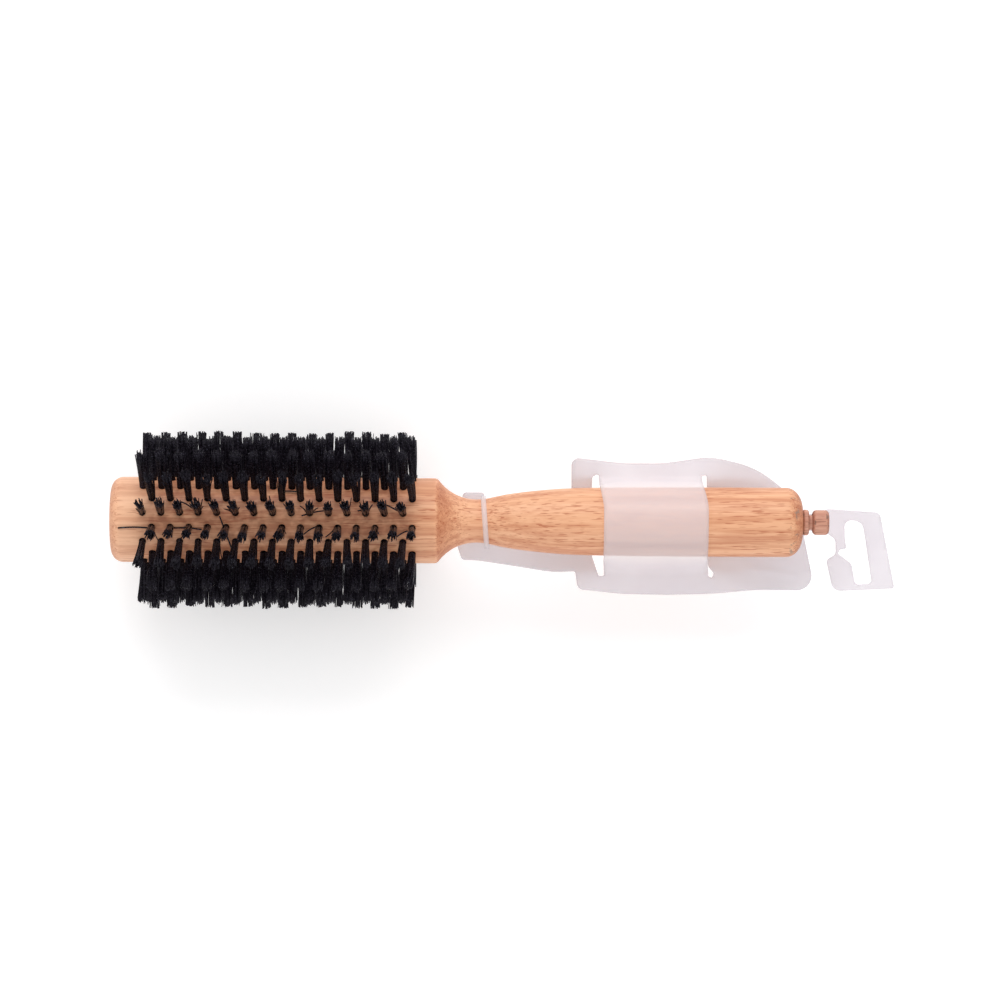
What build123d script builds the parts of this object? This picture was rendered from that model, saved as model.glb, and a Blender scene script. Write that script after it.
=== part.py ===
from build123d import *
import os
from math import acos, asin, atan2, cos, degrees, hypot, sin, sqrt, tan

# A round barrel hairbrush on its retail hanger. Millimetres.
# Origin: centre of the barrel's flat end face. +X runs along the axis to the handle,
# +Z points away from the hanger's back, +Y completes the frame.

# Barrel, neck and handle (one turned piece of wood)
BARREL_R = 14.2
BARREL_END_FILLET = 4.0
SHOULDER_FILLET = 2.0
NECK_X = 121.5
NECK_R = 7.2
CONE_ARC_R = 15.6
HANDLE_R = 11.55
HANDLE_FULL_X = 213.0
HANDLE_END_X = 230.2
END_ROUND_X = 5.5
END_FACE_R = 4.5

# Bristle tufts
ROWS = 18
TUFTS_PER_ROW = 15
TUFT_PITCH = 6.15
FIRST_TUFT_X = 11.2
HOLE_R = 1.2
HOLE_FLOOR_R = 6.5
TUFT_TIP_R = 30.0
TUFT_ROOT_R = 1.15
TUFT_END_R = 1.6
ANCHOR_WIDTH = 2.3
ANCHOR_THICK = 0.35
ANCHOR_TALL = 1.6
ANCHOR_LIFT = 0.6
UPWARD = (Align.CENTER, Align.CENTER, Align.MIN)

# Sectioning pick
PICK_FIT = 0.05
PIN_SHANK_R = 2.45
PIN_SHANK_LENGTH = 14.0
PIN_LENGTH = 73.0
PIN_TIP_R = 0.8
BORE_SPARE = 2.0
COLLAR_R = 4.3
COLLAR_LENGTH = 2.1
COLLAR_ROUND = 0.8
GROOVE_R = 2.5
GROOVE_LENGTH = 1.1
KNOB_R = 4.15
KNOB_LENGTH = 5.6
KNOB_ROUND = 1.4

# Hanger: one die-cut sheet
SHEET = 0.5
WRAP_R = 12.1
FOLD_HIGH = (15.4, -2.0)
FOLD_LOW = (-18.1, -4.5)
FOLD_ROUND = 2.5
TAB_Z = -12.4
NECK_PLATE_Z = -9.3
RAMP_FROM_X = 128.0
RAMP_TO_X = 154.0
CRADLE_STARTS = (128.0, 158.0)
CRADLE_ENDS = (200.0, 230.0)
BAND_X = (163.8, 198.5)
BLANK_FLOOR_Z = -15.0
BLANK_DEPTH = 22.0
LATTICE_X = range(112, 267, 3)
LATTICE_Y = [-27 + 2.5 * i for i in range(21)]
LOOP_X = 124.4
LOOP_WIDTH = 1.7
LOOP_R = 8.55
LOOP_Y = -0.35
LOOP_SKEW = 4.2


def handle_profile():
    """Half section of the wood, radius drawn along Y."""
    arc_centre_r = NECK_R + CONE_ARC_R
    fillet_centre_r = BARREL_R - SHOULDER_FILLET
    reach = CONE_ARC_R + SHOULDER_FILLET
    barrel_end_x = NECK_X - sqrt(reach**2 - (arc_centre_r - fillet_centre_r) ** 2)
    cone_angle = degrees(asin((NECK_X - barrel_end_x) / reach))
    end_centre = (HANDLE_END_X - END_ROUND_X, END_FACE_R)
    return [
        Line((0, 0), (0, BARREL_R - BARREL_END_FILLET)),
        CenterArc((BARREL_END_FILLET, BARREL_R - BARREL_END_FILLET), BARREL_END_FILLET, 180, -90),
        Line((BARREL_END_FILLET, BARREL_R), (barrel_end_x, BARREL_R)),
        CenterArc((barrel_end_x, fillet_centre_r), SHOULDER_FILLET, 90, -cone_angle),
        CenterArc((NECK_X, arc_centre_r), CONE_ARC_R, 270 - cone_angle, cone_angle),
        Spline(
            (NECK_X, NECK_R),
            (129.2, 8.45),
            (137.2, 9.72),
            (149.2, 10.87),
            (163.2, 11.33),
            (HANDLE_FULL_X, HANDLE_R),
            tangents=((1, 0), (1, 0)),
        ),
        Line((HANDLE_FULL_X, HANDLE_R), (end_centre[0], HANDLE_R)),
        EllipticalCenterArc(end_centre, END_ROUND_X, HANDLE_R - END_FACE_R, start_angle=90, arc_size=-90),
        Line((HANDLE_END_X, END_FACE_R), (HANDLE_END_X, 0)),
        Line((HANDLE_END_X, 0), (0, 0)),
    ]


def revolved(edges):
    return revolve(make_face(edges), Axis.X)


def pick_bore():
    """The bore from the handle's end, with the drill's conical bottom."""
    radius = PIN_SHANK_R + PICK_FIT
    mouth = HANDLE_END_X + 1
    floor = HANDLE_END_X - PIN_LENGTH - BORE_SPARE
    return revolved(Polyline((floor - radius, 0), (floor, radius), (mouth, radius), (mouth, 0), close=True))


def row_angle(row):
    """Rows are numbered round from +Z towards +Y."""
    return (row + 0.5) * 360 / ROWS


def tuft_places(row):
    """One frame for each tuft of a row: its origin on the axis, its Z outward."""
    shift = TUFT_PITCH / 2 if row % 2 else 0
    for i in range(TUFTS_PER_ROW):
        yield Pos(FIRST_TUFT_X + shift + i * TUFT_PITCH, 0, 0) * Rot(-row_angle(row), 0, 0)


def tuft():
    """Bristles folded over their anchor: a plain root in the hole, spreading to the tip."""
    root = Pos(0, 0, HOLE_FLOOR_R) * Cylinder(TUFT_ROOT_R, BARREL_R - HOLE_FLOOR_R, align=UPWARD)
    spread = Pos(0, 0, BARREL_R) * Cone(TUFT_ROOT_R, TUFT_END_R, TUFT_TIP_R - BARREL_R, align=UPWARD)
    return root + spread - anchor_blank(2 * HOLE_R)


def anchor_blank(width):
    """The anchor's flat wire, standing a little above the hole's floor with the bristles under it."""
    return Pos(0, 0, HOLE_FLOOR_R + ANCHOR_LIFT) * Box(width, ANCHOR_THICK, ANCHOR_TALL, align=UPWARD)


def tuft_hole():
    return Pos(0, 0, HOLE_FLOOR_R) * Cylinder(HOLE_R, BARREL_R - HOLE_FLOOR_R + 1, align=UPWARD)


def brush_body():
    hole = tuft_hole()
    holes = [place * hole for row in range(ROWS) for place in tuft_places(row)]
    return revolved(handle_profile()) - [pick_bore(), *holes]


def sectioning_pick():
    """Knob, groove and collar outside the handle, and a long tapered pin in the bore."""
    x0 = HANDLE_END_X
    shank_end = x0 - PIN_SHANK_LENGTH
    tip = x0 - PIN_LENGTH
    groove_x = x0 + COLLAR_LENGTH
    knob_x = groove_x + GROOVE_LENGTH
    end_x = knob_x + KNOB_LENGTH
    collar_r = COLLAR_R - COLLAR_ROUND
    return revolved(
        [
            Line((tip - PIN_TIP_R, 0), (tip - PIN_TIP_R / 2, PIN_TIP_R)),
            Line((tip - PIN_TIP_R / 2, PIN_TIP_R), (shank_end, PIN_SHANK_R)),
            Line((shank_end, PIN_SHANK_R), (x0, PIN_SHANK_R)),
            Line((x0, PIN_SHANK_R), (x0, collar_r)),
            CenterArc((x0 + COLLAR_ROUND, collar_r), COLLAR_ROUND, 180, -90),
            Line((x0 + COLLAR_ROUND, COLLAR_R), (groove_x - COLLAR_ROUND, COLLAR_R)),
            CenterArc((groove_x - COLLAR_ROUND, collar_r), COLLAR_ROUND, 90, -90),
            Line((groove_x, collar_r), (groove_x, GROOVE_R)),
            Line((groove_x, GROOVE_R), (knob_x, GROOVE_R)),
            Line((knob_x, GROOVE_R), (knob_x, KNOB_R - KNOB_ROUND)),
            CenterArc((knob_x + KNOB_ROUND, KNOB_R - KNOB_ROUND), KNOB_ROUND, 180, -90),
            Line((knob_x + KNOB_ROUND, KNOB_R), (end_x - KNOB_ROUND, KNOB_R)),
            CenterArc((end_x - KNOB_ROUND, KNOB_R - KNOB_ROUND), KNOB_ROUND, 90, -90),
            Line((end_x, KNOB_R - KNOB_ROUND), (end_x, 0)),
            Line((end_x, 0), (tip - PIN_TIP_R, 0)),
        ]
    )


def smooth(x, low, high):
    """0 up to low, 1 from high, an S between them."""
    t = min(max((x - low) / (high - low), 0), 1)
    return t * t * (3 - 2 * t)


def touch_angle(fold, side):
    """Angle from straight down (side -1) or up (+1) where a line from the fold meets the wrap circle."""
    y, z = fold
    return atan2(abs(y), side * z) - acos(WRAP_R / hypot(y, z))


def cradle_z(y):
    """Height of the sheet's middle where it hangs behind the handle like a trough."""
    fold_y, fold_z = FOLD_HIGH if y > 0 else FOLD_LOW
    angle = touch_angle((fold_y, fold_z), -1)
    if abs(y) < WRAP_R * sin(angle):
        return -sqrt(WRAP_R**2 - y**2)
    past = abs(y) - abs(fold_y)
    if past < -FOLD_ROUND:
        return fold_z + past * tan(angle)
    if past > FOLD_ROUND:
        return fold_z
    return fold_z - tan(angle) * (FOLD_ROUND - past) ** 2 / (4 * FOLD_ROUND)


def sheet_z(x, y):
    """Height of the sheet's middle: flat tab, trough behind the handle, ramp, flat neck plate."""
    ramp = smooth(x, RAMP_FROM_X, RAMP_TO_X)
    flat = NECK_PLATE_Z + (TAB_Z - NECK_PLATE_Z) * ramp
    cradle = smooth(x, *CRADLE_STARTS) * (1 - smooth(x, *CRADLE_ENDS))
    return flat + (cradle_z(y) - flat) * cradle


def blank_outline():
    """The die-cut outline seen from +Z, without the bridge and the tab."""
    neck_plate = FilletPolyline(
        (116.7, -13.1), (115.1, -8.6), (116.9, 9.5), (123.9, 9.5), (124.1, 6.6), (156, 6.6), (156, -16.8),
        (146, -16.9), (131, -14.6), (122, -13.3),
        radius=[1.2, 3, 1.2, 0.8, 0.6, 0, 0, 12, 30, 15], close=True,
    )  # fmt: skip
    body = [
        Line((153.1, 4.0), (153.1, 18.6)),
        RadiusArc((153.1, 18.6), (155.6, 21.0), 2.5),
        Spline(
            (155.6, 21.0), (167, 19.6), (182, 19.6), (199.5, 21.3), (213.9, 18.3), (224.2, 11.7), (232.3, 2.9),
            tangents=((1, 0), (0.6, -0.8)),
        ),
        Line((232.3, 2.9), (231.2, -4.0)),
        Line((231.2, -4.0), (234.2, -16.2)),
        RadiusArc((234.2, -16.2), (229.2, -22.8), 6),
        Spline(
            (229.2, -22.8), (215, -22.9), (192, -24.2), (172, -24.2), (157.8, -22.6),
            tangents=((-1, -0.1), (-1, 0.25)),
        ),
        RadiusArc((157.8, -22.6), (155.1, -19.2), 3.4),
        Line((155.1, -19.2), (154.3, -15.6)),
        Line((154.3, -15.6), (153.1, 4.0)),
    ]  # fmt: skip
    window = FilletPolyline(
        (160.1, 14.9), (198.9, 14.9), (198.9, 9.0), (198.9, -14.0), (200.6, -17.7), (162.6, -17.7),
        (160.6, -11.0),
        radius=[1.5, 0.8, 0, 0, 0.8, 1.5, 0], close=True,
    )  # fmt: skip
    return make_face(neck_plate) + make_face(body) - make_face(window)


def tab_outline():
    """The bridge behind the knob and the hang tab with its leaning hooked slot."""
    tab = FilletPolyline(
        (229, 2.9), (236.0, 2.9), (239.4, 4.5), (257.0, 3.4), (262.05, -22.1), (241.4, -23.1),
        (239.0, -12.6), (242.2, -10.7), (242.1, -5.6), (238.1, -2.9), (229, -2.9),
        radius=[0, 2, 1.5, 2.2, 0.8, 3.2, 1.6, 1.6, 2.2, 2.4, 0], close=True,
    )  # fmt: skip
    slot = FilletPolyline(
        (245.1, 0.9), (251.2, 0.4), (254.4, -20.5), (248.8, -20.9), (247.5, -13.8), (242.9, -10.4),
        (243.7, -9.1), (245.8, -8.7), (245.3, -5.0),
        radius=[2.2, 3.4, 1.3, 1.5, 2.2, 0.7, 0.8, 0.5, 4], close=True,
    )  # fmt: skip
    return make_face(tab) - make_face(slot)


def back_sheet():
    """The height surface over a lattice that reaches past the outline, thickened."""
    lattice = [[Vector(x, y, sheet_z(x, y)) for y in LATTICE_Y] for x in LATTICE_X]
    middle = Face.make_surface_from_array_of_points(lattice)
    return thicken(middle, SHEET / 2, both=True)


def band():
    """The strip between the two slits, pushed up over the handle."""
    points = []
    for fold, sign in ((FOLD_HIGH, 1), (FOLD_LOW, -1)):
        angle = touch_angle(fold, 1)
        points.append((fold, (sign * WRAP_R * sin(angle), WRAP_R * cos(angle))))
    (high, high_touch), (low, low_touch) = points
    path = Line(high, high_touch) + ThreePointArc(high_touch, (0, WRAP_R), low_touch) + Line(low_touch, low)
    section = Plane.YZ.offset(BAND_X[0]) * trace(path, SHEET)
    return extrude(section, BAND_X[1] - BAND_X[0], dir=(1, 0, 0))


def neck_loop():
    """The narrow loop over the neck, its two legs rooted in the neck plate."""
    foot = NECK_PLATE_Z
    left = (LOOP_Y - LOOP_R, 0)
    right = (LOOP_Y + LOOP_R, 0)
    path = (
        Line((left[0], foot), left)
        + ThreePointArc(left, (LOOP_Y, LOOP_R), right)
        + Line(right, (right[0], foot))
    )
    ribbon = extrude(Plane.YZ.offset(-LOOP_WIDTH / 2) * trace(path, SHEET), LOOP_WIDTH, dir=(1, 0, 0))
    return Pos(LOOP_X, 0, 0) * Rot(0, 0, LOOP_SKEW) * ribbon


def hanger():
    outline = blank_outline() + tab_outline()
    blank = extrude(Pos(0, 0, BLANK_FLOOR_Z) * outline, BLANK_DEPTH)
    return (back_sheet() & blank) + band() + neck_loop()


def save(shape, name):
    solids = shape if isinstance(shape, list) else list(shape.solids())
    export_step(solids[0] if len(solids) == 1 else Compound(children=solids), f"parts/{name}.step")


os.makedirs("parts", exist_ok=True)
save(brush_body(), "brush_body")
one_tuft = tuft().solid()
for row in range(ROWS):
    save([place * one_tuft for place in tuft_places(row)], f"tuft_row_{row + 1:02d}")
one_anchor = anchor_blank(ANCHOR_WIDTH).solid()
anchor_places = [place for row in range(ROWS) for place in tuft_places(row)]
save([place * one_anchor for place in anchor_places], "tuft_anchors")
save(sectioning_pick(), "sectioning_pick")
save(hanger(), "hanger")
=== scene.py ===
import math
import random

import bmesh
import bpy
import numpy as np
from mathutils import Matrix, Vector
from mathutils.geometry import delaunay_2d_cdt


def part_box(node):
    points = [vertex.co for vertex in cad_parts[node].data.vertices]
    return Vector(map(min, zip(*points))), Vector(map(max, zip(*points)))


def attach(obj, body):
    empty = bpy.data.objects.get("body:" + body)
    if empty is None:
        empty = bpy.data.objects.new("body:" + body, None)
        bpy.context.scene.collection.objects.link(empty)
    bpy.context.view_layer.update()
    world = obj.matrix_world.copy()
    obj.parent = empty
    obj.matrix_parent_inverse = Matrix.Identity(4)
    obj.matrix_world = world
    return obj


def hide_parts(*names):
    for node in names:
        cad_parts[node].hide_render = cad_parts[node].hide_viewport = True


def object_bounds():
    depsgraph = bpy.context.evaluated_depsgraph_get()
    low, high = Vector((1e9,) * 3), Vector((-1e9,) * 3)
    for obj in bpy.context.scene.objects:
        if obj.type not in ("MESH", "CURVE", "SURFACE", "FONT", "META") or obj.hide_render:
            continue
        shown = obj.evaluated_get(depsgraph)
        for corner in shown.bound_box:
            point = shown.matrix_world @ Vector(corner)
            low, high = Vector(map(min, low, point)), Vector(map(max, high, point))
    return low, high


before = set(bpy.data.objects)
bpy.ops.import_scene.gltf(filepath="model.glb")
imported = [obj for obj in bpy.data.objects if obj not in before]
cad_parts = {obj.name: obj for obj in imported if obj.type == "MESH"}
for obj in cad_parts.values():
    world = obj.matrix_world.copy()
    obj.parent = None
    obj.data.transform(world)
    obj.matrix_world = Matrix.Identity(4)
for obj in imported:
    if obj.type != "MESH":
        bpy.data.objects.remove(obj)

MM = 0.001
CAD_BOX = [list(corner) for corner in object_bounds()]

# ---------------------------------------------------------------- places read from the frame
BARREL_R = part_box("brush_body")[1].z
TUFT_ROWS = sorted(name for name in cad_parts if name.startswith("tuft_row_"))
TIP_R = max(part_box(name)[1].y for name in TUFT_ROWS)
TIP_HIGH_Z = max(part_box(name)[1].z for name in TUFT_ROWS) - 0.15 * MM

# ---------------------------------------------------------------- camera and light
CAMERA_HEIGHT = 1.5
VIEW_WIDTH = 1 / 3
SENSOR = 36
VIEW_CENTRE = Vector((0.12935, 0.00703, 0))
CAMERA_ROLL = 0.0047
CLIP = (0.01, 100)
FLOOR_GAP = 0.4 * MM
FLOOR_HALF = 3.0
FLOOR_GLOW = 0.2
SURROUND_LIGHT = 0.72
# Name, place, size in metres and power in watts of each softbox; both face the point LIT_POINT.
SOFTBOXES = (
    ("softbox_top", (0.12, 1.0, 0.8), (1.2, 0.7), 8.5),
    ("softbox_front", (0.1, -1.0, 0.7), (1.2, 0.8), 3.8),
)
LIT_POINT = (0.12, 0, 0)

# ---------------------------------------------------------------- wood
# Stretches along the brush over which a change in the wood's colour fades in or out: the paler end (painted
# light, partly the wood's own tone), the painted shade among the tufts and the torn grain.
PALE_END = (3 * MM, 20 * MM)
TUFTS_BEGIN = (8 * MM, 15 * MM)
TUFTS_END = (97 * MM, 103 * MM)
TORN_GRAIN_FROM = (200 * MM, 205 * MM)
# Painted light, partly the wood's own paler tone: colour that the barrel's left end fades towards.
PALE_END_LIGHT_AND_TONE = (252, 206, 172)
# Painted shade among the tufts: colour that darkens the wood between the bristle rows.
PAINTED_TUFT_SHADE = (214, 196, 188)
PALE_WOOD = {
    "light": (236, 180, 140),
    "dark": (209, 144, 106),
    "pore": (170, 84, 46),
    "end grain": (206, 160, 126),
    "torn grain": (140, 118, 104),
}
REDDISH_WOOD = {
    "light": (214, 160, 136),
    "dark": (193, 136, 114),
    "pore": (136, 86, 66),
    "end grain": (190, 150, 132),
    "torn grain": (120, 90, 76),
}

# ---------------------------------------------------------------- bristles
SEED = 41
TUFTS_PER_ROW = 15
STRANDS = 40
STRAND_SIDES = 4
STRAND_STEPS = 5
ROOT_SPREAD = 1.0 * MM
TIP_SPREAD = 1.62 * MM
GOLDEN_TURN = 2.39996
TUFT_END_R = 1.6 * MM
ROOT_DEPTH = 1.2 * MM
STRAND_R = (0.21 * MM, 0.29 * MM)
TIP_TAPER = 0.3
# Standard deviations of a tuft's lean, and below of a strand's place and bend.
LEAN_ALONG = 0.28 * MM
LEAN_ACROSS = 0.3 * MM
LAST_TUFT_LEAN = -0.7 * MM
LAST_TUFTS = (0.85, 1)
STRAND_SCATTER = 0.18 * MM
STRAND_WAVE = 0.1 * MM
SPLAYED_SHARE = 0.03
SPLAYED_SPREAD = 1.9
# How far the tips stay inside the CAD cone, and how much shorter a tuft or a strand is cut.
TIP_GAP = 0.1 * MM
TUFT_CUT = 0.9 * MM
STRAND_CUT = 0.8 * MM
STRAY_R = 0.25 * MM
STRAY_STEPS = 8
STRAY_OFF_WOOD = 0.15
STRAY_SAG = 0.35
STRAY_BOW = 0.25
# Loose bristles across the barrel, in millimetres: (x, y) of each end, and how far it stands off.
STRAYS = (
    ((3.2, -2.8), (13.1, -2.7), 0.2),
    ((21.7, -2.7), (30.9, -3.2), 0.4),
    ((36.9, 1.3), (41.0, -10.3), 2.2),
    ((24.0, 6.0), (28.3, 3.5), 1.8),
    ((28.6, 7.5), (30.9, 2.6), 2.6),
    ((56.0, 9.4), (62.3, 9.4), 0.9),
    ((63.9, 1.5), (71.2, 3.2), 1.3),
    ((64.6, -4.6), (68.6, -2.1), 1.0),
    ((88.7, 6.4), (95.6, 3.3), 2.4),
    ((95.3, -5.3), (98.9, -3.3), 1.2),
    ((82.4, 3.2), (86.0, 3.3), 0.8),
)

# ---------------------------------------------------------------- hanger sheet (millimetres)
SHEET = 0.5
WRAP_R = 12.1
TAB_Z = -12.4
NECK_PLATE_Z = -9.3
NECK_RAMP = (128, 154)
CRADLE_START = (128, 158)
CRADLE_END = (200, 230)
# The two ends of the slits, above and below the handle: (y, z) of the fold and its radius.
FOLD_HIGH = (15.4, -2.0, 3.5)
FOLD_LOW = (-18.1, -4.5, 6.0)
RIM_TILT_OUTSIDE = math.radians(-10)
RIM_TILT_AT_BAND = math.radians(16)
RIM_TILT_BEGIN = (156, 172)
RIM_TILT_END = (192, 206)
BAND_ROOT_HIGH = (162.2, 196.7)
BAND_ROOT_LOW = (164.2, 199.05)
BAND_MIDDLE = (163.8, 198.45)
CREASE_FROM = (212.7, -15.5)
CREASE_SLOPE = -0.154
CREASE_HEIGHT = 0.3
CREASE_BEGIN = (CREASE_FROM[0] - 4, CREASE_FROM[0] + 3)
CREASE_END = (227, 231)
BAND_COLUMNS = 24
LATTICE = (1.6, 0.8)
# Longest piece of a straight edge, and the space kept free of lattice points beside an edge.
EDGE_STEP = 1.5
EDGE_GAP = 0.45
CORNER_SHARE = 0.48
CORNER_TURN = 0.2
CORNER_STEP = 2.5
FOLD_STEPS = 7
RUN_STEPS = 6
ARC_STEPS = 16
WELD = 0.02 * MM
LOOP_CENTRE = (124.4, -0.35)
LOOP_R = 8.55
LOOP_WIDTH = 1.7
LOOP_SKEW = math.radians(4.2)
LOOP_BEND_Z = -0.5
LOOP_LEG_POINTS = 9
LOOP_ARC_POINTS = 33
# Corners of the die-cut outline, (x, y, radius of the rounding).
OUTLINE = (
    (236, 2.9, 2), (239.4, 4.5, 1.5), (257, 3.4, 2.2), (262, -22.1, 0.9), (241.4, -23.1, 3.2),
    (239, -12.6, 1.6), (242.2, -10.7, 1.6), (242.1, -5.6, 2.2), (238.1, -2.9, 2.4), (231.5, -2.9, 0.8),
    (231.8, -6, 8), (235.3, -22.9, 5), (215, -22.7, 60), (200, -24, 60), (186, -24.4, 80), (170, -24.2, 80),
    (160, -23.1, 30), (155.4, -22.7, 2.4), (154.6, -16.6, 0.9), (147, -17, 25), (131, -14.6, 40),
    (122, -13.3, 25), (116.7, -13.1, 1.3), (115.1, -8.6, 3), (116.9, 9.5, 1.2), (123.9, 9.5, 0.9),
    (124.2, 6.5, 0.5), (153.2, 6.5, 0.5), (153.2, 21.3, 2.3), (161, 20.5, 25), (170, 19.4, 40),
    (184, 19.4, 50), (199.5, 21.8, 22), (214, 18.6, 40), (224.5, 11.5, 60), (231.5, 2.9, 1.5),
)  # fmt: skip
HANG_SLOT = (
    (245.1, 0.9, 2.2), (251.2, 0.4, 3.4), (254.4, -20.5, 1.3), (248.8, -20.9, 1.5), (247.5, -13.8, 2.2),
    (242.9, -10.4, 0.7), (243.7, -9.1, 0.8), (245.8, -8.7, 0.5), (245.3, -5, 4),
)  # fmt: skip


class Shader:
    """A material's node tree, with short calls for the nodes that the recipes need."""

    def __init__(self, name, **sockets):
        self.material = bpy.data.materials.new(name)
        self.material.use_nodes = True
        self.tree = self.material.node_tree
        self.bsdf = self.tree.nodes["Principled BSDF"]
        self.set(**sockets)

    def set(self, **sockets):
        for name, value in sockets.items():
            self.bsdf.inputs[name.replace("_", " ")].default_value = value

    def add(self, kind, **settings):
        node = self.tree.nodes.new("ShaderNode" + kind)
        for name, value in settings.items():
            setattr(node, name, value)
        return node

    def feed(self, source, socket):
        """Links a node's output, or sets a plain value."""
        if hasattr(source, "is_linked"):
            self.tree.links.new(source, socket)
        else:
            socket.default_value = source

    def place(self, scale):
        """The row frame's coordinates, times a scale for each axis (1 / metres)."""
        coords = self.add("TexCoord")
        mapping = self.add("Mapping")
        mapping.inputs["Scale"].default_value = scale
        self.feed(coords.outputs["Object"], mapping.inputs["Vector"])
        return mapping.outputs["Vector"]

    def noise(self, scale, detail=2.0, rough=0.5, distortion=0.0):
        """Noise with its own grain size along each axis; scale is cells per metre."""
        node = self.add("TexNoise")
        self.feed(self.place(scale), node.inputs["Vector"])
        node.inputs["Scale"].default_value = 1
        node.inputs["Detail"].default_value = detail
        node.inputs["Roughness"].default_value = rough
        node.inputs["Distortion"].default_value = distortion
        return node.outputs["Fac"]

    def math(self, operation, a, b=0.0, clamp=False):
        node = self.add("Math", operation=operation, use_clamp=clamp)
        self.feed(a, node.inputs[0])
        self.feed(b, node.inputs[1])
        return node.outputs[0]

    def remap(self, value, low, high, to_low=0.0, to_high=1.0):
        node = self.add("MapRange", interpolation_type="SMOOTHSTEP")
        self.feed(value, node.inputs["Value"])
        node.inputs["From Min"].default_value = low
        node.inputs["From Max"].default_value = high
        node.inputs["To Min"].default_value = to_low
        node.inputs["To Max"].default_value = to_high
        return node.outputs["Result"]

    def mix(self, factor, a, b, blend="MIX"):
        node = self.add("Mix", data_type="RGBA", blend_type=blend)
        self.feed(factor, node.inputs["Factor"])
        self.feed(a, node.inputs[6])
        self.feed(b, node.inputs[7])
        return node.outputs[2]

    def axis_parts(self):
        """(along the brush, across, up) of the place, in metres."""
        coords = self.add("TexCoord")
        split = self.add("SeparateXYZ")
        self.feed(coords.outputs["Object"], split.inputs[0])
        return split.outputs

    def facing_ends(self):
        """How far the surface faces along the brush, 0 to 1: where end grain shows."""
        coords = self.add("TexCoord")
        split = self.add("SeparateXYZ")
        self.feed(coords.outputs["Normal"], split.inputs[0])
        return self.math("ABSOLUTE", split.outputs[0])

    def bump(self, height, distance, strength=1.0, below=None):
        node = self.add("Bump")
        node.inputs["Strength"].default_value = strength
        node.inputs["Distance"].default_value = distance
        self.feed(height, node.inputs["Height"])
        if below:
            self.feed(below, node.inputs["Normal"])
        return node.outputs["Normal"]


def colour(red, green, blue):
    """A linear colour from 0-255 screen values."""
    def linear(value):
        value /= 255
        return value / 12.92 if value <= 0.04045 else ((value + 0.055) / 1.055) ** 2.4

    return (linear(red), linear(green), linear(blue), 1)


def turned_wood(name, colours, coat):
    """Solid wood with its grain along X: figure, fibre, short pores, and end grain where cut across."""
    s = Shader(name, Specular_IOR_Level=0.42, Coat_Weight=coat, Coat_Roughness=0.34)
    tone = {part: colour(*values) for part, values in colours.items()}
    figure = s.noise((9, 130, 130), detail=3, rough=0.55, distortion=0.6)
    streak = s.noise((24, 600, 600), detail=3, rough=0.65, distortion=0.3)
    fibre = s.noise((90, 3600, 3600), detail=2, rough=0.6)
    pore_noise = s.noise((170, 2300, 2300), detail=1.2, rough=0.45)
    cluster = s.noise((28, 210, 210), detail=2)
    grain = s.math("ADD", s.math("MULTIPLY", figure, 0.42), s.math("MULTIPLY", streak, 0.58))
    base = s.mix(s.remap(grain, 0.4, 0.6), tone["light"], tone["dark"])
    base = s.mix(s.remap(fibre, 0.3, 0.75, 0, 0.22), base, tone["dark"], "MULTIPLY")
    gate = s.math("ADD", pore_noise, s.math("MULTIPLY", s.math("SUBTRACT", cluster, 0.5), 0.32))
    pores = s.remap(gate, 0.6, 0.68)
    base = s.mix(s.math("MULTIPLY", pores, 0.62), base, tone["pore"])
    along = s.axis_parts()[0]
    # Painted shade among the tufts: the wood between the bristle rows is darkened in patches.
    among_tufts = s.math("MULTIPLY", s.remap(along, *TUFTS_BEGIN), s.remap(along, *TUFTS_END, 1, 0))
    mottle = s.remap(s.noise((300, 420, 420), detail=2), 0.38, 0.62, 0.25, 0.9)
    shade = s.math("MULTIPLY", among_tufts, mottle)
    base = s.mix(shade, base, colour(*PAINTED_TUFT_SHADE), "MULTIPLY")
    facing = s.facing_ends()
    ends = s.remap(facing, 0.3, 0.8)
    base = s.mix(s.math("MULTIPLY", ends, 0.5), base, tone["end grain"], "MULTIPLY")
    # Painted light, partly the wood's own paler tone: the barrel's left end is made paler.
    base = s.mix(s.remap(along, *PALE_END, 0.3, 0), base, colour(*PALE_END_LIGHT_AND_TONE))
    speck = s.noise((1500, 1500, 1500), detail=1.5)
    specks = s.math("MULTIPLY", s.remap(speck, 0.56, 0.68), s.remap(facing, 0.1, 0.4, 0, 0.4))
    base = s.mix(specks, base, tone["pore"])
    tear = s.noise((260, 420, 420), detail=4, rough=0.7)
    torn = s.math("MULTIPLY", s.remap(tear, 0.55, 0.62), s.remap(facing, 0.12, 0.3, 0, 0.8))
    torn = s.math("MULTIPLY", torn, s.remap(along, *TORN_GRAIN_FROM))
    base = s.mix(torn, base, tone["torn grain"])
    s.feed(base, s.bsdf.inputs["Base Color"])
    rough = s.math("ADD", s.remap(fibre, 0.3, 0.7, 0.44, 0.56), s.math("MULTIPLY", pores, 0.14))
    s.feed(s.math("ADD", rough, s.math("MULTIPLY", ends, 0.12)), s.bsdf.inputs["Roughness"])
    relief = s.math("SUBTRACT", s.math("MULTIPLY", fibre, 0.35), pores)
    s.feed(s.bump(relief, 0.05 * MM, 0.6), s.bsdf.inputs["Normal"])
    return s.material


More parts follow.
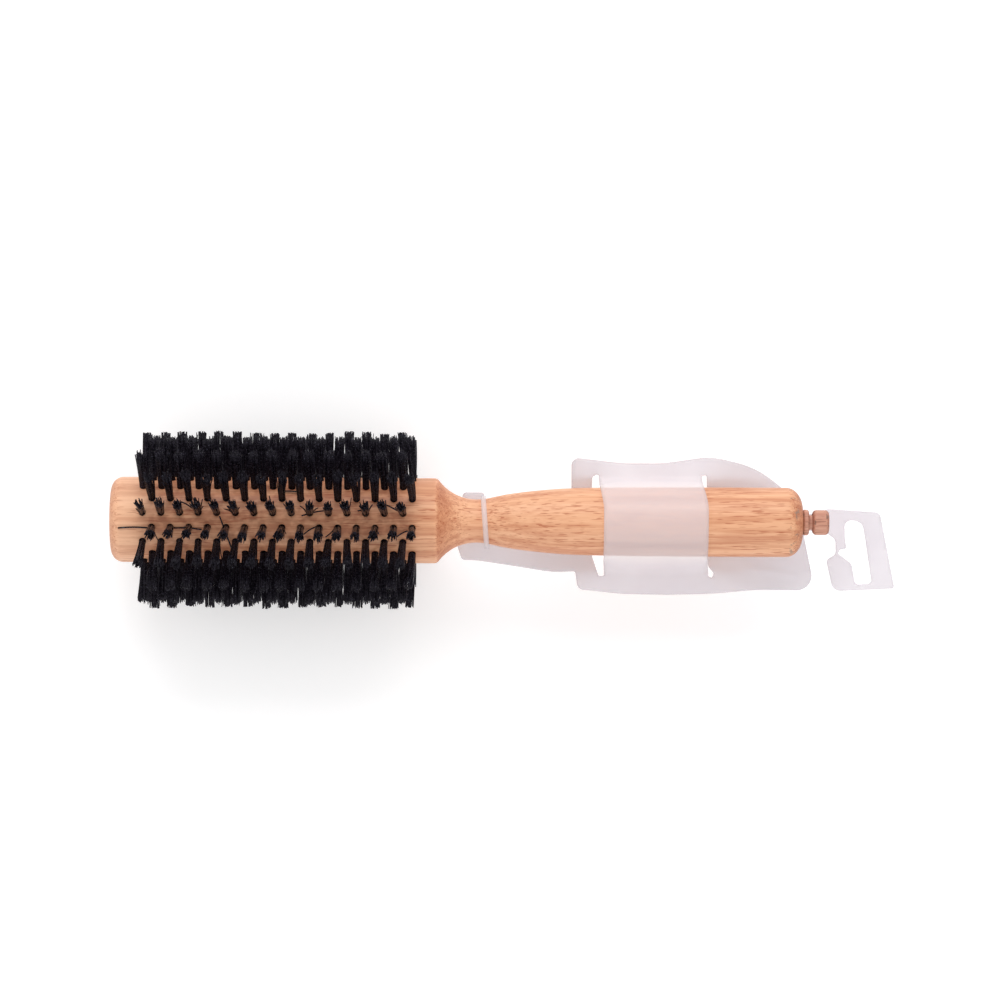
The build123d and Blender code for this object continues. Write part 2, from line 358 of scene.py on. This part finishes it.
def bristle_material():
    """Black bristle: dark blue-grey variation from strand to strand, painted glints and a satin sheen."""
    s = Shader("black_bristle", Specular_IOR_Level=0.12)
    strand = s.noise((1400, 1400, 1400), detail=2, rough=0.6)
    base = s.mix(s.remap(strand, 0.35, 0.75), colour(19, 16, 23), colour(47, 43, 53))
    # Painted glints: small patches of the strands are made pale blue-grey.
    painted_glint = s.noise((1700, 1700, 1700), detail=1)
    base = s.mix(s.remap(painted_glint, 0.68, 0.72, 0, 0.75), base, colour(84, 84, 98))
    s.feed(base, s.bsdf.inputs["Base Color"])
    s.feed(s.remap(strand, 0.3, 0.7, 0.16, 0.3), s.bsdf.inputs["Roughness"])
    return s.material


def wire_material():
    """Flat drawn steel wire with lengthwise scratches."""
    s = Shader("drawn_wire", Metallic=1.0)
    scratch = s.noise((2500, 2500, 9000), detail=3)
    s.feed(s.mix(scratch, colour(150, 148, 142), colour(196, 194, 190)), s.bsdf.inputs["Base Color"])
    s.feed(s.remap(scratch, 0.3, 0.7, 0.28, 0.45), s.bsdf.inputs["Roughness"])
    return s.material


def plastic_material():
    """Milky sheet plastic, partly see-through, with faint flow lines and waviness."""
    s = Shader("milky_plastic", Alpha=0.44, Specular_IOR_Level=0.4, IOR=1.49)
    cloud = s.noise((45, 45, 45), detail=3)
    grain = s.noise((700, 180, 180), detail=3, rough=0.6)
    base = s.mix(s.remap(cloud, 0.35, 0.65), colour(215, 207, 214), colour(208, 199, 207))
    # Painted light: the sheet is paler and pinker where it rises over the handle.
    raised_painted_light = s.remap(s.axis_parts()[2], -3 * MM, 5 * MM)
    base = s.mix(raised_painted_light, base, colour(225, 216, 218))
    s.feed(base, s.bsdf.inputs["Base Color"])
    s.feed(s.remap(grain, 0.3, 0.7, 0.3, 0.42), s.bsdf.inputs["Roughness"])
    s.feed(s.bump(cloud, 0.6 * MM, 0.25, s.bump(grain, 0.02 * MM, 0.4)), s.bsdf.inputs["Normal"])
    return s.material


def dress(node, material):
    """Gives a CAD node its material."""
    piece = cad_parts[node]
    piece.data.materials.clear()
    piece.data.materials.append(material)


def into_scene(name, data):
    """A new object for a mesh, light or camera."""
    thing = bpy.data.objects.new(name, data)
    bpy.context.scene.collection.objects.link(thing)
    return thing


def mesh_piece(name, points, faces, material, shaded_smooth=True):
    mesh = bpy.data.meshes.new(name)
    mesh.from_pydata(points, [], faces)
    mesh.update()
    if shaded_smooth:
        mesh.shade_smooth()
    mesh.materials.append(material)
    return into_scene(name, mesh)


class Tubes:
    """Collects thin tapering tubes into one mesh."""

    def __init__(self, sides):
        self.sides = sides
        self.points = []
        self.faces = []

    def add(self, path, radii):
        first = len(self.points)
        n = self.sides
        for i, (point, radius) in enumerate(zip(path, radii)):
            ahead = path[min(i + 1, len(path) - 1)] - path[max(i - 1, 0)]
            ahead.normalize()
            side = ahead.orthogonal().normalized()
            other = ahead.cross(side)
            for k in range(n):
                turn = 2 * math.pi * k / n
                self.points.append(point + radius * (math.cos(turn) * side + math.sin(turn) * other))
        for i in range(len(path) - 1):
            for k in range(n):
                a = first + i * n + k
                b = first + i * n + (k + 1) % n
                self.faces.append((a, b, b + n, a + n))
        self.faces.append(tuple(range(first + n - 1, first - 1, -1)))
        last = first + (len(path) - 1) * n
        self.faces.append(tuple(range(last, last + n)))


def tuft_strands(tubes, centre_x, angle, lean, rng):
    """One tuft: strands packed round in the hole, spreading and leaning a little, cut unevenly."""
    out = Vector((0, math.sin(angle), math.cos(angle)))
    across = Vector((0, math.cos(angle), -math.sin(angle)))
    along = Vector((1, 0, 0))
    lean_along = lean + rng.gauss(0, LEAN_ALONG)
    lean_across = rng.gauss(0, LEAN_ACROSS)
    tuft_length = rng.uniform(-TUFT_CUT, 0)
    root_r = BARREL_R - ROOT_DEPTH
    for i in range(STRANDS):
        turn = i * GOLDEN_TURN + rng.uniform(-0.3, 0.3)
        ring = math.sqrt((i + 0.5) / STRANDS)
        u, v = ring * math.cos(turn), ring * math.sin(turn)
        spread_out = SPLAYED_SPREAD if rng.random() < SPLAYED_SHARE else 1.0
        tip_u = u * TIP_SPREAD * spread_out + lean_along + rng.gauss(0, STRAND_SCATTER)
        tip_v = v * TIP_SPREAD * spread_out + lean_across + rng.gauss(0, STRAND_SCATTER)
        tip_r = TIP_R - TIP_GAP + tuft_length - abs(rng.gauss(0, STRAND_CUT))
        side = abs(across.z * tip_v)
        tip_r = min(tip_r, (TIP_HIGH_Z - side) / max(abs(out.z), 0.2))
        wave_u, wave_v = rng.gauss(0, STRAND_WAVE), rng.gauss(0, STRAND_WAVE)
        path, radii = [], []
        radius = rng.uniform(*STRAND_R)
        for step in range(STRAND_STEPS + 1):
            t = step / STRAND_STEPS
            spread = t**1.5
            bow = math.sin(math.pi * t)
            path.append(
                along * (centre_x + u * ROOT_SPREAD * (1 - spread) + tip_u * spread + wave_u * bow)
                + across * (v * ROOT_SPREAD * (1 - spread) + tip_v * spread + wave_v * bow)
                + out * (root_r + (tip_r - root_r) * t)
            )
            radii.append(radius * (1 - TIP_TAPER * t**4))
        tubes.add(path, radii)


def bristle_rows(material):
    rng = random.Random(SEED)
    for name in TUFT_ROWS:
        low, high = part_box(name)
        middle = (low + high) / 2
        angle = math.atan2(middle.y, middle.z)
        first, last = low.x + TUFT_END_R, high.x - TUFT_END_R
        tubes = Tubes(STRAND_SIDES)
        for i in range(TUFTS_PER_ROW):
            share = i / (TUFTS_PER_ROW - 1)
            lean = LAST_TUFT_LEAN * smooth(share, *LAST_TUFTS)
            tuft_strands(tubes, first + (last - first) * share, angle, lean, rng)
        piece = mesh_piece(name.replace("tuft_row", "bristles"), tubes.points, tubes.faces, material)
        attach(piece, "brush")
        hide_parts(name)


def smooth(x, low, high):
    """0 up to low, 1 from high, an S between them."""
    t = min(max((x - low) / (high - low), 0), 1)
    return t * t * (3 - 2 * t)


def rounded(corners):
    """A closed outline through the corners, each replaced by an arc of its radius."""
    outline = []
    for i, (x, y, radius) in enumerate(corners):
        here = Vector((x, y))
        if not radius:
            outline.append(here)
            continue
        back = Vector(corners[i - 1][:2]) - here
        ahead = Vector(corners[(i + 1) % len(corners)][:2]) - here
        half = back.angle(ahead) / 2
        reach = min(radius / math.tan(half), CORNER_SHARE * back.length, CORNER_SHARE * ahead.length)
        radius = reach * math.tan(half)
        back.normalize()
        ahead.normalize()
        centre = here + (back + ahead).normalized() * (radius / math.sin(half))
        start, end = here + back * reach, here + ahead * reach
        turn = math.pi - 2 * half
        steps = max(2, round(turn / CORNER_TURN), round(turn * radius / CORNER_STEP))
        first = start - centre
        sense = 1 if first.x * (end - centre).y - first.y * (end - centre).x > 0 else -1
        for k in range(steps + 1):
            a = sense * turn * k / steps
            cos_a, sin_a = math.cos(a), math.sin(a)
            spoke = Vector((first.x * cos_a - first.y * sin_a, first.x * sin_a + first.y * cos_a))
            outline.append(centre + spoke)
    return outline


class Wrap:
    """Half a section of the sheet: out from the handle's middle round the wrap circle, down a straight
    run and through the fold to the slit's end. Worked in (a, b): a is outward, b is up for the band and
    down for the cradle behind the handle."""

    def __init__(self, fold, over, tilt):
        y, z, radius = fold
        flip = 1 if over else -1
        tilt = tilt * flip
        self.end = (abs(y), z * flip)
        self.tilt, self.radius = tilt, radius
        self.centre = (self.end[0] + radius * math.sin(tilt), self.end[1] + radius * math.cos(tilt))
        away = math.hypot(*self.centre)
        lift = math.acos(min(1, (WRAP_R + radius) / away))
        self.touch = math.atan2(self.centre[1], self.centre[0]) + lift
        normal = (math.cos(self.touch), math.sin(self.touch))
        self.leave = (WRAP_R * normal[0], WRAP_R * normal[1])
        self.meet = (self.centre[0] - radius * normal[0], self.centre[1] - radius * normal[1])

    def height(self, a):
        if a <= self.leave[0]:
            return math.sqrt(WRAP_R**2 - a**2)
        if a <= self.meet[0]:
            t = (a - self.leave[0]) / (self.meet[0] - self.leave[0])
            return self.leave[1] + t * (self.meet[1] - self.leave[1])
        if a <= self.end[0]:
            return self.centre[1] - math.sqrt(max(0, self.radius**2 - (a - self.centre[0]) ** 2))
        return self.end[1] - math.tan(self.tilt) * (a - self.end[0])

    def path(self):
        """Points from the slit's end up to the middle."""
        points = []
        for k in range(FOLD_STEPS + 1):
            turn = self.tilt + (math.pi / 2 - self.touch - self.tilt) * k / FOLD_STEPS
            points.append((
                self.centre[0] - self.radius * math.sin(turn),
                self.centre[1] - self.radius * math.cos(turn),
            ))
        for k in range(1, RUN_STEPS):
            t = k / RUN_STEPS
            points.append((
                self.meet[0] + (self.leave[0] - self.meet[0]) * t,
                self.meet[1] + (self.leave[1] - self.meet[1]) * t,
            ))
        for k in range(ARC_STEPS + 1):
            turn = self.touch + (math.pi / 2 - self.touch) * k / ARC_STEPS
            points.append((WRAP_R * math.cos(turn), WRAP_R * math.sin(turn)))
        return points


def rim_tilt(x):
    """The sheet outside the slits' ends leans with the band beside it, and the other way elsewhere."""
    beside = smooth(x, *RIM_TILT_BEGIN) * (1 - smooth(x, *RIM_TILT_END))
    return RIM_TILT_OUTSIDE + (RIM_TILT_AT_BAND - RIM_TILT_OUTSIDE) * beside


def crease(x, y):
    """A faint ridge along the sheet below the handle's end."""
    off_line = y - (CREASE_FROM[1] + (x - CREASE_FROM[0]) * CREASE_SLOPE)
    share = smooth(x, *CREASE_BEGIN) * (1 - smooth(x, *CREASE_END))
    return CREASE_HEIGHT * math.exp(-(off_line**2)) * share


def sheet_height(x, y):
    """Height of the sheet's middle behind the handle, along the strip and in the tab."""
    flat = NECK_PLATE_Z + (TAB_Z - NECK_PLATE_Z) * smooth(x, *NECK_RAMP) + crease(x, y)
    share = smooth(x, *CRADLE_START) * (1 - smooth(x, *CRADLE_END))
    if share == 0:
        return flat
    fold = FOLD_HIGH if y > 0 else FOLD_LOW
    cradle = -Wrap(fold, False, rim_tilt(x)).height(abs(y))
    return flat + (cradle + crease(x, y) - flat) * share


def window_outline():
    """The opening between the slits: the open left slot, the band's roots and the narrow right slit."""
    high, low = FOLD_HIGH[0], FOLD_LOW[0]
    outline = rounded((
        (BAND_ROOT_HIGH[0], high, 0), (161.4, high + 0.3, 0.6), (160.1, high - 0.6, 0.9), (160.2, -11.6, 6),
        (162.4, low - 0.2, 0.8), (BAND_ROOT_LOW[0], low, 0), (BAND_ROOT_LOW[1], low, 0),
        (200.3, low - 0.6, 0.5), (201, low + 1, 0.8), (199, low + 3.4, 3), (198.6, 9, 20),
        (198.2, high + 0.1, 0.4), (BAND_ROOT_HIGH[1], high, 0),
    ))  # fmt: skip
    divided = []
    for i, point in enumerate(outline):
        ahead = outline[(i + 1) % len(outline)]
        at_root = max(abs(point.y - ahead.y), min(abs(point.y - high), abs(point.y - low))) < 1e-4
        parts = BAND_COLUMNS if at_root and abs(point.x - ahead.x) > 30 else 1
        divided += [point.lerp(ahead, k / parts) for k in range(parts)]
    return divided


def divided(outline):
    """The outline with more points along its straight edges, so that they bend with the sheet."""
    points = []
    for i, point in enumerate(outline):
        ahead = outline[(i + 1) % len(outline)]
        parts = math.ceil((ahead - point).length / EDGE_STEP)
        points += [point.lerp(ahead, k / parts) for k in range(parts)]
    return points


def inside(points, outline):
    """For each point, whether it is inside the outline."""
    x, y = points[:, 0:1], points[:, 1:2]
    start = np.array([tuple(p) for p in outline])
    end = np.roll(start, -1, axis=0)
    spans = (start[:, 1] > y) != (end[:, 1] > y)
    rise = np.where(end[:, 1] == start[:, 1], 1, end[:, 1] - start[:, 1])
    crossing = start[:, 0] + (y - start[:, 1]) * (end[:, 0] - start[:, 0]) / rise
    return (spans & (x < crossing)).sum(axis=1) % 2 == 1


def near(points, outline, gap):
    """For each point, whether it is within the gap of the outline."""
    start = np.array([tuple(p) for p in outline])
    along = np.roll(start, -1, axis=0) - start
    offset = points[:, None, :] - start
    share = np.clip((offset * along).sum(axis=2) / (along**2).sum(axis=1), 0, 1)
    return (np.linalg.norm(offset - share[..., None] * along, axis=2) < gap).any(axis=1)


def flat_sheet(bm):
    """The strip, the cradle behind the handle and the tab: the cut outline, bent to its height."""
    edges = [divided(edge) for edge in (rounded(OUTLINE), rounded(HANG_SLOT), window_outline())]
    xs = np.arange(min(c[0] for c in OUTLINE), max(c[0] for c in OUTLINE), LATTICE[0])
    ys = np.arange(min(c[1] for c in OUTLINE), max(c[1] for c in OUTLINE), LATTICE[1])
    lattice = np.stack(np.meshgrid(xs, ys, indexing="ij"), axis=-1).reshape(-1, 2)
    within = inside(lattice, edges[0]) & ~inside(lattice, edges[1]) & ~inside(lattice, edges[2])
    for edge in edges:
        within &= ~near(lattice, edge, EDGE_GAP)
    places, borders = [], []
    for edge in edges:
        first = len(places)
        places += edge
        borders += [(first + i, first + (i + 1) % len(edge)) for i in range(len(edge))]
    places += [Vector(point) for point in lattice[within]]
    flat, _, triangles, *_ = delaunay_2d_cdt(places, borders, [], 0, 1e-6)
    middles = np.array([[sum(flat[i][k] for i in t) / 3 for k in (0, 1)] for t in triangles])
    kept = inside(middles, edges[0]) & ~inside(middles, edges[1]) & ~inside(middles, edges[2])
    verts = [bm.verts.new((x * MM, y * MM, sheet_height(x, y) * MM)) for x, y in flat]
    for triangle, keep in zip(triangles, kept):
        if keep:
            bm.faces.new([verts[i] for i in triangle])


def band(bm):
    """The strip between the slits, over the handle from one fold to the other."""
    columns = range(BAND_COLUMNS + 1)
    rows = []
    for side, fold in ((1, FOLD_HIGH), (-1, FOLD_LOW)):
        paths = []
        for i in columns:
            share = i / BAND_COLUMNS
            wrap = Wrap(fold, True, rim_tilt(band_x(fold[0], share)))
            paths.append([(band_x(a * side, share), a * side, b) for a, b in wrap.path()])
        half = list(zip(*paths))
        rows += half if side == 1 else half[-2::-1]
    grid = [[bm.verts.new((x * MM, y * MM, z * MM)) for x, y, z in row] for row in rows]
    for lower, upper in zip(grid, grid[1:]):
        for i in range(BAND_COLUMNS):
            bm.faces.new((lower[i], upper[i], upper[i + 1], lower[i + 1]))


def band_x(y, share):
    """Where the band's columns run: it narrows and leans a little into its roots."""
    ends = []
    for k in (0, 1):
        into_high = smooth(y, 4, FOLD_HIGH[0])
        into_low = smooth(-y, 9, -FOLD_LOW[0])
        ends.append(
            BAND_MIDDLE[k]
            + (BAND_ROOT_HIGH[k] - BAND_MIDDLE[k]) * into_high
            + (BAND_ROOT_LOW[k] - BAND_MIDDLE[k]) * into_low
        )
    return ends[0] + (ends[1] - ends[0]) * share


def neck_loop(bm):
    """The narrow loop over the neck, from the plate on one side to the other."""
    centre_x, centre_y = LOOP_CENTRE
    leg = np.linspace(NECK_PLATE_Z, LOOP_BEND_Z, LOOP_LEG_POINTS)
    arc = np.linspace(0, math.pi, LOOP_ARC_POINTS)
    path = [(LOOP_R, z) for z in leg]
    path += [(LOOP_R * math.cos(turn), LOOP_R * math.sin(turn)) for turn in arc]
    path += [(-LOOP_R, z) for z in leg[::-1]]
    grid = []
    for across, z in path:
        y = centre_y + across
        row = []
        for k in (-1, 0, 1):
            x = centre_x + k * LOOP_WIDTH / 2 - math.sin(LOOP_SKEW) * across
            row.append(bm.verts.new((x * MM, y * MM, z * MM)))
        grid.append(row)
    for lower, upper in zip(grid, grid[1:]):
        for i in (0, 1):
            bm.faces.new((lower[i], upper[i], upper[i + 1], lower[i + 1]))


def stray_bristles(material):
    """Loose bristles lying over the wood among the tufts."""
    tubes = Tubes(6)
    for (x0, y0), (x1, y1), lift in STRAYS:
        path = []
        for k in range(STRAY_STEPS + 1):
            t = k / STRAY_STEPS
            bow = math.sin(math.pi * t)
            x, y = x0 + (x1 - x0) * t, y0 + (y1 - y0) * t
            wood = math.sqrt((BARREL_R / MM) ** 2 - y**2)
            off = STRAY_OFF_WOOD + lift * (1 - STRAY_SAG * bow)
            path.append(Vector((x, y + STRAY_BOW * bow, wood + off)) * MM)
        tubes.add(path, [STRAY_R] * len(path))
    piece = mesh_piece("stray_bristles", tubes.points, tubes.faces, material)
    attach(piece, "brush")


def hanger_sheet(material):
    """The whole hanger as one thin sheet with smooth bends and square cut edges."""
    bm = bmesh.new()
    flat_sheet(bm)
    band(bm)
    bmesh.ops.remove_doubles(bm, verts=bm.verts, dist=WELD)
    neck_loop(bm)
    mesh = bpy.data.meshes.new("hanger_sheet")
    bm.to_mesh(mesh)
    bm.free()
    mesh.shade_smooth()
    mesh.materials.append(material)
    piece = into_scene("hanger_sheet", mesh)
    thick = piece.modifiers.new("thickness", "SOLIDIFY")
    thick.thickness = SHEET * MM
    thick.offset = 0
    thick.use_even_offset = True
    thick.use_flat_faces = True
    piece.visible_shadow = False
    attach(piece, "hanger")
    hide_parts("hanger")


def softbox(name, place, size, power):
    light = bpy.data.lights.new(name, "AREA")
    light.shape = "RECTANGLE"
    light.size, light.size_y = size
    light.energy = power
    lamp = into_scene(name, light)
    lamp.location = place
    lamp.rotation_euler = (Vector(LIT_POINT) - Vector(place)).to_track_quat("-Z", "Y").to_euler()


def studio():
    """Pale, faintly glowing floor just under the lowest bristles, two softboxes and a bright surround."""
    s = Shader(
        "pale_floor", Base_Color=(0.96, 0.96, 0.965, 1), Roughness=0.9, Specular_IOR_Level=0.1,
        Emission_Color=(1, 1, 1, 1), Emission_Strength=FLOOR_GLOW,
    )  # fmt: skip
    level = CAD_BOX[0][2] - FLOOR_GAP
    half = FLOOR_HALF
    corners = [(x, y, level) for x, y in ((-half, -half), (half, -half), (half, half), (-half, half))]
    floor = mesh_piece("floor", corners, [(0, 1, 2, 3)], s.material, shaded_smooth=False)
    world = bpy.data.worlds.new("surround")
    world.use_nodes = True
    background = world.node_tree.nodes["Background"]
    background.inputs["Color"].default_value = (1, 1, 1, 1)
    background.inputs["Strength"].default_value = SURROUND_LIGHT
    bpy.context.scene.world = world
    for box in SOFTBOXES:
        softbox(*box)
    bpy.context.scene.view_settings.view_transform = "Standard"


def camera():
    lens = bpy.data.cameras.new("camera")
    lens.sensor_width = SENSOR
    lens.lens = SENSOR * CAMERA_HEIGHT / VIEW_WIDTH
    lens.clip_start, lens.clip_end = CLIP
    eye = into_scene("camera", lens)
    eye.location = VIEW_CENTRE + Vector((0, 0, CAMERA_HEIGHT))
    eye.rotation_euler = (0, 0, CAMERA_ROLL)
    bpy.context.scene.camera = eye


camera()
studio()
dress("brush_body", turned_wood("pale_wood", PALE_WOOD, coat=0.12))
dress("sectioning_pick", turned_wood("reddish_wood", REDDISH_WOOD, coat=0.0))
dress("tuft_anchors", wire_material())
bristle = bristle_material()
bristle_rows(bristle)
stray_bristles(bristle)
hanger_sheet(plastic_material())
